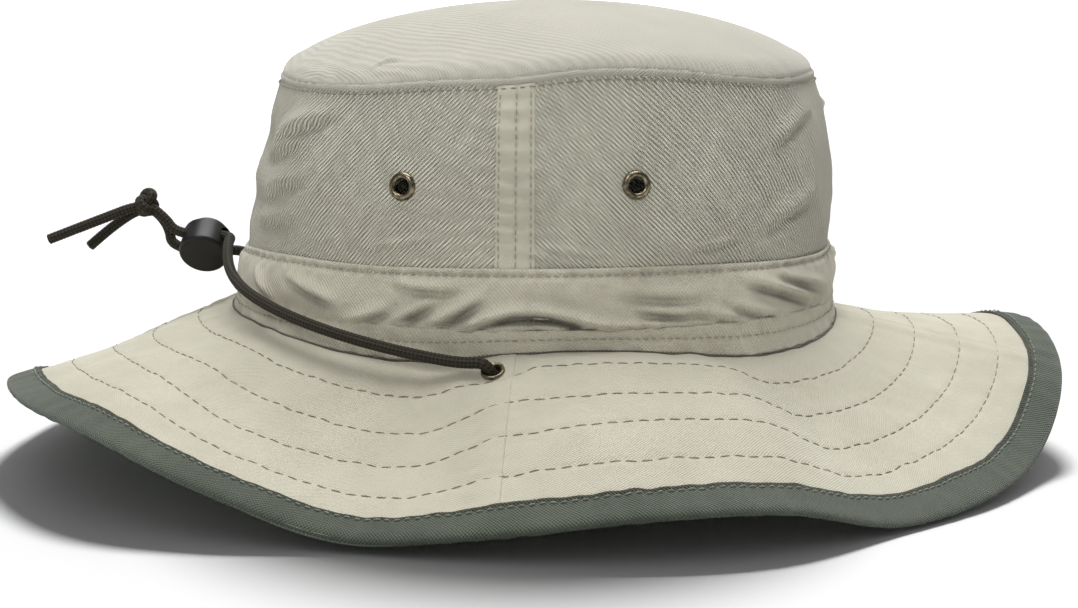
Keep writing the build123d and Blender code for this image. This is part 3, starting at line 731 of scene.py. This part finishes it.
def brim_relief(azimuth, reach):
    relief = 0.35 * ripples(azimuth, reach, 51, 8, (5, 16), 60) * np.clip(reach / 15, 0, 1)
    relief = relief + 0.10 * ripples(azimuth, reach, 52, 14, (26, 60), 22)
    relief = relief + brim_swell(azimuth, reach)
    for side in (1, -1):
        gap = np.hypot(turned(azimuth, side * CORD_EYELET_AZIMUTH) * 1.65, reach - CORD_EYELET_REACH)
        relief = relief * ramp_up(gap, 3, 14)
    for k, row in enumerate(ROW_PLACES):
        row_place = row + row_sway(azimuth, k)
        relief = relief - 0.42 * bell(reach, row_place, 0.75)
        pucker = ripples(azimuth, reach * 0.25, 60 + k, 12, (45, 110), 18)
        relief = relief + 0.09 * pucker * bell(reach, row_place, 4.5)
    for seam_azimuth in (0, 90, 180, -90):
        girth = np.abs(np.radians(turned(azimuth, seam_azimuth)) * (90 + reach))
        ridge = 1 / (1 + np.exp((girth - 5.0) / 0.5))
        pucker = np.sin(reach * 2 * math.pi / 6.5 + seam_azimuth) * bell(girth, 5.0, 4.0)
        share = 0.45 if seam_azimuth == -90 else 1.0
        relief = relief + share * (0.5 * ridge - 0.22 * bell(girth, 0.0, 0.6)) + 0.12 * pucker
    return relief * np.clip((80 - reach) / 14, 0.10, 1)


def row_sway(azimuth, row):
    """Rows of topstitch wander a little, as they do when the cloth is fed by hand."""
    return 0.4 * ripples(azimuth, 0.0, 70 + row, 5, (2, 8), 50)


def brim_surface(azimuth, reach, lift=0.0):
    return brim_point(azimuth, reach, brim_relief(azimuth, reach) + lift)


def binding_section():
    """Reach and lift round the folded tape, from its inner edge on top round to the one below."""
    top = [(68.3, 0.05), (68.2, 0.4), (68.5, 0.75), (69.3, 0.85), (69.9, 0.5), (70.4, 0.72), (71.2, 0.8)]
    run = [(72.5 + k, 0.82) for k in range(6)]
    edge = [(79.2, 0.6), (79.8, 0.15), (80.05, -0.6), (79.85, -1.5), (79.2, -2.05)]
    under = [(77.5 - 1.5 * k, -2.3) for k in range(6)] + [(68.6, -2.25), (68.3, -2.0), (68.5, -1.8)]
    return np.array(top + run + edge + under)[::-1]


def binding_surface(azimuth, reach, lift):
    pucker = 0.07 * ripples(azimuth, reach * 0.3, 82, 14, (60, 140), 12)
    relief = brim_relief(azimuth, np.minimum(reach, 79.0))
    sway = 0.25 * ripples(azimuth, 0.0, 81, 8, (6, 40), 50) * np.clip((76 - reach) / 7, 0, 1)
    tight = 2.4 * bell(turned(azimuth, -108), 0, 26) * np.clip((reach - 69) / 8, 0, 1)
    return brim_point(azimuth, reach + sway - tight, relief + lift + pucker * np.where(lift > -0.8, 1.0, -1.0))


# ---- crown pieces
def grid(first, last, step):
    count = max(2, int(round(abs(last - first) / step)) + 1)
    return np.linspace(first, last, count)


def wall_piece(name, first, last):
    azimuth, height = np.meshgrid(grid(first, last, 0.42), grid(1.0, TOP_SEAM_HEIGHT + 0.6, 0.75), indexing="ij")
    uv = np.stack([side_gap(azimuth), height], -1)
    holes = [(face_place(wall_surface, vent, VENT_HEIGHT, 1.5)[0], 2.9) for vent in VENTS]
    return shell(name, wall_surface(azimuth, height), WALL_THICKNESS, uv, CROWN_CLOTH, holes=holes)


def face_place(surface, azimuth, other, step, face=1):
    """A point of a cloth surface and the direction in which its face looks there."""
    azimuth, other = np.array(azimuth), np.array(other)
    centre = surface(azimuth, other)
    axis = np.cross(surface(azimuth + step, other) - centre, surface(azimuth, other + step) - centre)
    return centre, unit(axis) * face


crown_front = wall_piece("crown_wall_front", -90, 90)
crown_back = wall_piece("crown_wall_back", 90, 270)

u, v = np.meshgrid(np.linspace(-1, 1, 260), np.linspace(-1, 1, 260), indexing="ij")
disc_x, disc_y = u * np.sqrt(1 - v**2 / 2), v * np.sqrt(1 - u**2 / 2)
disc_out = np.minimum(np.hypot(disc_x, disc_y), 1.0)
tip_points = tip_surface(np.degrees(np.arctan2(disc_y, disc_x)), np.degrees(np.arccos(disc_out)))
crown_tip = shell("crown_tip", tip_points, WALL_THICKNESS, tip_points[..., :2], TIP_CLOTH)


def welt_surface(azimuth, turn):
    """The rolled top seam; turn goes from its lower edge, 0, over to the tip, 1."""
    angle = np.pi * (turn * 1.05 - 0.35)
    pinch = 1 + 0.05 * ripples(azimuth, 0.0, 91, 12, (40, 120), 9)
    out = wall_out(azimuth, TOP_SEAM_HEIGHT) - 0.5 + 1.25 * np.cos(angle) * pinch
    height = TOP_SEAM_HEIGHT - 0.4 + 1.35 * np.sin(angle) * pinch + at(TOP_WAVE, azimuth)
    return ring_point(azimuth, out, BASE_HEIGHT + height)


def ring_shell(name, surface, places, step, thickness, material, length=1.0):
    """A closed ring of cloth round the hat; places are the second coordinates of its rows."""
    turns = np.arange(int(round(360 / step)) + 1) * step
    points = surface(*np.meshgrid(turns[:-1], places, indexing="ij"))
    uv = np.stack(np.meshgrid(arc_length(turns) * length, run_length(points[0]), indexing="ij"), -1)
    return shell(name, points, thickness, uv, material, wrap=True)


welt = ring_shell("tip_seam_welt", welt_surface, grid(0, 1, 0.09), 0.5, 0.5, TIP_CLOTH, 0.9)
band = ring_shell("crown_band", band_surface, grid(BAND_LOW - 0.3, BAND_HIGH, 0.5), 360 / 1029, WALL_THICKNESS,
                  BAND_CLOTH)
hem = ring_shell("band_hem", hem_surface, grid(0, 1, 0.07), 0.5, 0.7, BAND_CLOTH)


def sweat_surface(azimuth, height):
    foot = np.clip((SHOULDER - height) / SHOULDER, 0, 1)
    out = (wall_out(azimuth, SHOULDER) - 2.4) * (1 - foot) - 4.8 * foot
    out = out + 0.3 * ripples(azimuth, height, 95, 9, (8, 30), 25) * foot
    return ring_point(azimuth, out, BASE_HEIGHT + height)


sweatband = ring_shell("sweatband", sweat_surface, grid(28.0, -1.5, 1.0), 0.6, 0.8, SWEAT_CLOTH)


def degrees_along(length):
    """The azimuth that a length round the base oval spans."""
    return math.degrees(length / ((BASE_LENGTH + BASE_WIDTH) / 4))


def strip_piece(name, side):
    half = degrees_along(STRIP_HALF)
    azimuth, height = np.meshgrid(grid(side - half, side + half, 0.22),
                                  grid(BAND_HIGH - 1, TOP_SEAM_HEIGHT - 1.2, 0.5), indexing="ij")
    gap = arc_length(turned(azimuth, side))
    lift = 0.12 + 0.42 / (1 + np.exp((np.abs(gap) - 5.5) / 0.16))
    for row in SIDE_ROWS:
        lift = lift - 0.3 * bell(gap, row, 0.45)
    out_x, out_y = outward(azimuth)
    points = wall_surface(azimuth, height) + np.stack([out_x * lift, out_y * lift, lift * 0], -1)
    uv = np.stack([side_gap(azimuth), height], -1)
    return shell(name, points, 0.5, uv, STRIP_CLOTH)


strips = [strip_piece("side_seam_left", SIDE_SEAM_AZIMUTH),
          strip_piece("side_seam_right", -SIDE_SEAM_AZIMUTH)]

# ---- brim pieces
QUARTERS = {"front_left": 0, "back_left": 90, "back_right": 180, "front_right": 270}
cord_holes = [brim_surface(np.array(side * CORD_EYELET_AZIMUTH), np.array(CORD_EYELET_REACH)) for side in (1, -1)]


def brim_layer(name, azimuth, reach, lift, lap, thickness, hole, material, over=True):
    """One cloth of the brim, lift mm above its top face and open round both cord eyelets."""
    points = brim_surface(azimuth, reach, lift + lap)
    uv = np.stack([np.radians(azimuth) * BRIM_GIRTH, reach], -1)
    holes = [(centre + np.array([0, 0, lift]), hole) for centre in cord_holes]
    if over:
        points, uv = points[:, ::-1], uv[:, ::-1]
    return shell(name, points, thickness, uv, material, holes=holes)


for name, first in QUARTERS.items():
    azimuth, reach = np.meshgrid(grid(first, first + 91.4, 0.32), grid(-1.6, 77.5, 0.8), indexing="ij")
    lap = 0.28 * ramp_up(azimuth, first + 87.6, first + 89.0)
    brim_layer("brim_top_" + name, azimuth, reach, 0.0, lap, BRIM_THICKNESS, 2.75, BRIM_CLOTH)
    brim_layer("brim_under_" + name, azimuth, reach, UNDER_LIFT, -lap, BRIM_THICKNESS, 2.75,
                                  UNDER_CLOTH, over=False)
for name, first in (("brim_interlining_left", 0), ("brim_interlining_right", 180)):
    azimuth, reach = np.meshgrid(grid(first, first + 180, 0.6), grid(0, 77, 1.1), indexing="ij")
    brim_layer(name, azimuth, reach, LINING_LIFT, 0.0, 0.3, 3.1, LINING_CLOTH)

section = binding_section()
turns = np.arange(1441) / 4
azimuth, row = np.meshgrid(turns[:-1], np.arange(len(section)), indexing="ij")
points = binding_surface(azimuth, section[row, 0], section[row, 1])
across = run_length(points[0])
uv = np.stack(np.meshgrid(np.radians(turns) * RIM_GIRTH, across, indexing="ij"), -1)
binding = shell("brim_binding", points, BRIM_THICKNESS, uv, BINDING_CLOTH, wrap=True)
# painted shade: the faces at both folded inner edges of the binding take the darker edge cloth
binding.data.materials.append(BINDING_EDGE_SHADE)
corner_v = np.zeros(len(binding.data.loops) * 2, np.float32)
binding.data.uv_layers["cloth"].data.foreach_get("uv", corner_v)
corner_v = corner_v[1::2].reshape(-1, 4).mean(1) / MM
shaded_binding_edge = (corner_v > across[-1] - 2.3) | (corner_v < 1.6)
binding.data.polygons.foreach_set("material_index", shaded_binding_edge.astype(np.int32))


# ---- stitches
def stitch_row(name, surface, azimuths, others, material, pitch=2.7, long=2.2, wide=0.36, lift=0.12,
               face=1, step=0.5):
    """Real thread: one short arched stitch after another along a line on a cloth surface."""
    azimuths, others = np.broadcast_arrays(np.asarray(azimuths, float), np.asarray(others, float))
    line = surface(azimuths, others)
    place = run_length(line)
    count = max(2, int(place[-1] / pitch))
    rng = np.random.default_rng(len(name) * 7 + count)
    middles = (np.arange(count) + 0.5) * place[-1] / count
    length = place[-1] / count * long / pitch * rng.uniform(0.94, 1.05, count)
    shares = np.linspace(-0.5, 0.5, 7)
    sides = 6    # of each stitch's section
    along = middles[:, None] + shares[None, :] * length[:, None]
    a, b = np.interp(along, place, azimuths), np.interp(along, place, others)
    core = surface(a, b)
    side_a = surface(a + 0.4, b) - surface(a - 0.4, b)
    side_b = surface(a, b + step) - surface(a, b - step)
    normal = unit(np.cross(side_a, side_b) * face)
    across = np.cross(normal, unit(np.gradient(core, axis=1)))
    arch = 1 - (2 * shares) ** 2
    core = core + normal * (lift + 0.26 * arch - 0.28 * (2 * shares) ** 6)[None, :, None]
    lean = rng.uniform(-0.10, 0.10, count)[:, None] * shares[None, :] * 2
    core = core + across * lean[..., None]
    radius = wide / 2 * np.sqrt(np.clip(1.04 - (2 * shares) ** 4, 0.04, 1))[None, :, None]
    angle = np.arange(sides) * 2 * math.pi / sides
    ring = core[:, :, None] + radius[..., None] * (across[:, :, None] * np.cos(angle)[:, None]
                                                  + 0.8 * normal[:, :, None] * np.sin(angle)[:, None])
    verts = ring.reshape(-1, 3)
    each = len(shares) * sides
    i, j = np.meshgrid(np.arange(len(shares) - 1), np.arange(sides), indexing="ij")
    pattern = np.stack([(i + a) * sides + (j + b) % sides for a, b in ((0, 0), (1, 0), (1, 1), (0, 1))], -1)
    ends = np.array([[0, 1, 2, 3], [0, 3, 4, 5], [39, 38, 37, 36], [41, 40, 39, 36]])
    pattern = np.concatenate([pattern.reshape(-1, 4), ends])
    faces = (pattern[None] + np.arange(count)[:, None, None] * each).reshape(-1, 4)
    return new_object(name, verts, [(faces, None)], material)


def brim_underside(azimuth, reach):
    return brim_surface(azimuth, reach, -1.72)


def binding_top(azimuth, reach):
    return binding_surface(azimuth, reach, np.full(np.shape(azimuth), 0.9))


full_turn = np.arange(0, 360.01, 0.5)
for k, row in enumerate(ROW_PLACES):
    line = row + row_sway(full_turn, k)
    stitch_row("row_stitches_%d" % (k + 1), brim_surface, full_turn, line, ROW_THREAD,
               pitch=4.6, long=4.1, wide=0.36, lift=0.04, face=-1)
    stitch_row("row_stitches_under_%d" % (k + 1), brim_underside, full_turn, line, BINDING_THREAD,
               wide=0.46, lift=-0.05)
stitch_row("binding_stitches", binding_top, full_turn, 70.6, BINDING_THREAD,
           pitch=3.0, wide=0.5, lift=0.05, face=-1)
stitch_row("band_top_stitches", band_surface, full_turn, BAND_HIGH - TOP_STITCH_DROP, SEAM_THREAD,
           lift=0.1)
stitch_row("hem_stitches", hem_surface, full_turn, 0.55, SEAM_THREAD, lift=0.1, step=0.05)
stitch_row("top_seam_stitches", wall_surface, full_turn, TOP_SEAM_HEIGHT - 2.35, ROW_THREAD,
           pitch=2.9, wide=0.5, lift=0.25)
# A thin dark tube along the join of hem and brim: a painted shadow line standing for the shade in the gap there.
join = brim_surface(full_turn[:-1], 1.35 + 0 * full_turn[:-1], 0.12)
tube("brim_join_shadow_line", join, 0.32, JOIN_SHADOW_THREAD, sides=8, closed=True)
heights = np.arange(BAND_HIGH + 1, TOP_SEAM_HEIGHT - 3, 0.5)
for name, side in (("left", SIDE_SEAM_AZIMUTH), ("right", -SIDE_SEAM_AZIMUTH)):
    for k, shift in enumerate(SIDE_ROWS):
        stitch_row("side_seam_%s_stitches_%d" % (name, k + 1), wall_surface, side + degrees_along(shift), heights,
                   SEAM_THREAD, pitch=2.5, long=1.9, wide=0.36, lift=0.3)


# ---- eyelets
def lathe(name, centre, axis, outline, sides=72):
    """A brass ring turned round an axis; the outline is closed, as radius and height in mm."""
    first, second, axis = square_frame(axis, [1.0, 0.1, 0.0])
    angle = np.arange(sides) * 2 * math.pi / sides
    spoke = first * np.cos(angle)[:, None] + second * np.sin(angle)[:, None]
    outline = np.asarray(outline, float)
    n = len(outline)
    verts = np.asarray(centre) + spoke[:, None] * outline[None, :, 0:1] + axis * outline[None, :, 1:2]
    i, j = np.meshgrid(np.arange(sides), np.arange(n), indexing="ij")
    corners = ((0, 1), (1, 1), (1, 0), (0, 0))
    faces = np.stack([(i + a) % sides * n + (j + b) % n for a, b in corners], -1).reshape(-1, 4)
    return new_object(name, verts.reshape(-1, 3), [(faces, None)], BRASS, "ring")


def flange_outline(flange, barrel, hole, depth):
    """A rolled flange round a short barrel."""
    return [(hole, -depth), (hole, -0.1), (hole + 0.12, 0.35), (hole + 0.45, 0.78), (hole + 0.95, 1.02),
            (hole + 1.4, 0.92), (flange - 0.22, 0.52), (flange, 0.1), (flange - 0.05, -0.15),
            (flange - 0.35, -0.2), (barrel + 0.15, -0.1), (barrel, -0.3), (barrel, -depth)]


for azimuth, side in zip(VENTS, ("front_left", "back_left", "front_right", "back_right")):
    centre, axis = face_place(wall_surface, azimuth, VENT_HEIGHT, 1.5)
    lathe("vent_eyelet_" + side, centre + axis * 0.15, axis, flange_outline(4.5, 2.9, 2.3, 1.4))
for sign, side in ((1, "left"), (-1, "right")):
    centre, axis = face_place(brim_point, sign * CORD_EYELET_AZIMUTH, CORD_EYELET_REACH, 1.0, face=-1)
    lathe("brim_eyelet_" + side, centre + axis * 0.35, axis, flange_outline(3.7, 2.75, 2.25, 3.2))
    lathe("brim_washer_" + side, centre - axis * 2.3, axis, [(2.8, 0.0), (2.9, -0.5), (3.6, -0.45), (3.75, 0.0)])

# ---- cords and knots
cords = {side: cord_strand("chin_cord_" + side, route)
         for side, route in (("right", RIGHT_ROUTE), ("left", LEFT_ROUTE))}


def knot_tube(name, centre, axis, scale, radius):
    """A trefoil of the same cord pulled tight about the cord's own direction."""
    t = np.linspace(0, 2 * math.pi, 181)[:-1]
    shape = np.stack([np.sin(t) + 2 * np.sin(2 * t), np.cos(t) - 2 * np.cos(2 * t), -1.35 * np.sin(3 * t)], -1) * scale
    first, second, axis = square_frame(axis, [0.0, 0.3, 1.0])
    path = np.asarray(centre) + shape[:, 0:1] * first + shape[:, 1:2] * second + shape[:, 2:3] * axis
    path = resampled(np.concatenate([path, path[:1]]), 0.3)[:-1]
    return tube(name, path, radius, CORD_BRAID, sides=32, closed=True, height=braid)


knot = knot_tube("cord_knot", (-136.3, 0.0, 81.2), (0.85, 0.0, -0.1), 1.32, 1.7)
stop_right = knot_tube("stop_knot_right", (-3.0, -90.2, 35.2), (-0.11, -0.49, 0.87), 0.72, 1.35)
stop_left = knot_tube("stop_knot_left", (-3.3, 91.0, 36.2), (-0.07, 0.41, 0.91), 0.72, 1.35)

# ---- CAD nodes that stay as they are
FINISHES = (("cord_lock_button", BUTTON_BLACK, "lock_plastic"), ("cord_lock_spring", STEEL, "spring_steel"),
            ("cord_lock", LOCK_BLACK, "lock_plastic"), ("label", LABEL_CLOTH, "label_cloth"),
            ("washer", BRASS, "eyelet_brass"))
for name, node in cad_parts.items():
    if not node.hide_render:
        finish, slot_name = next(row[1:] for row in FINISHES if row[0] in name)
        node.data.materials.clear()
        node.data.materials.append(finish)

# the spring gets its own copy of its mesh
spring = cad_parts["cord_lock_spring"]
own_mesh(spring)

# ---- floor, backdrop and light
def stage_plane(name, size, location, rotation, colour, glow):
    bpy.ops.mesh.primitive_plane_add(size=size, location=location, rotation=rotation)
    plane = bpy.context.object
    plane.name = name
    paint = Nodes(name, 0.9, Base_Color=(*colour, 1), Specular_IOR_Level=0.0, Emission_Color=(1, 1, 1, 1),
                  Emission_Strength=glow)
    plane.data.materials.append(paint.mat)
    return plane


floor = stage_plane("floor", 12.0, (0, 0, 0), (0, 0, 0), (0.98, 0.98, 0.985), 0.0)
backdrop = stage_plane("backdrop", 5.0, (0, 3.2, 0.3), (math.radians(90), 0, 0), (1.0, 1.0, 1.0), 0.8)


def far_light(name, energy, spread, turn, only=None, without=None):
    """A distant light. It lights only one object or all but one, and the backdrop never blocks it."""
    data = bpy.data.lights.new(name, "SUN")
    data.energy = energy
    data.angle = math.radians(spread)
    light = bpy.data.objects.new(name, data)
    light.rotation_euler = tuple(math.radians(angle) for angle in turn)
    bpy.context.collection.objects.link(light)
    lit = bpy.data.collections.new(name + "_lit")
    lit.objects.link(only or without)
    lit.collection_objects[0].light_linking.link_state = "INCLUDE" if only else "EXCLUDE"
    light.light_linking.receiver_collection = lit
    open_to = bpy.data.collections.new(name + "_blockers")
    open_to.objects.link(backdrop)
    open_to.collection_objects[0].light_linking.link_state = "EXCLUDE"
    light.light_linking.blocker_collection = open_to
    return light


far_light("floor_light", 3.4, 14, (-41, 1, 0), only=floor)
far_light("sky_light", 3.3, 48, (-11, 1, 0), without=floor)
far_light("window_light", 0.9, 16, (48, -22, 0), without=floor)

world = bpy.data.worlds.new("white_room")
bpy.context.scene.world = world
world.use_nodes = True
sky = world.node_tree.nodes["Background"]
sky.inputs["Color"].default_value = (1.0, 1.0, 1.0, 1)
sky.inputs["Strength"].default_value = 0.16
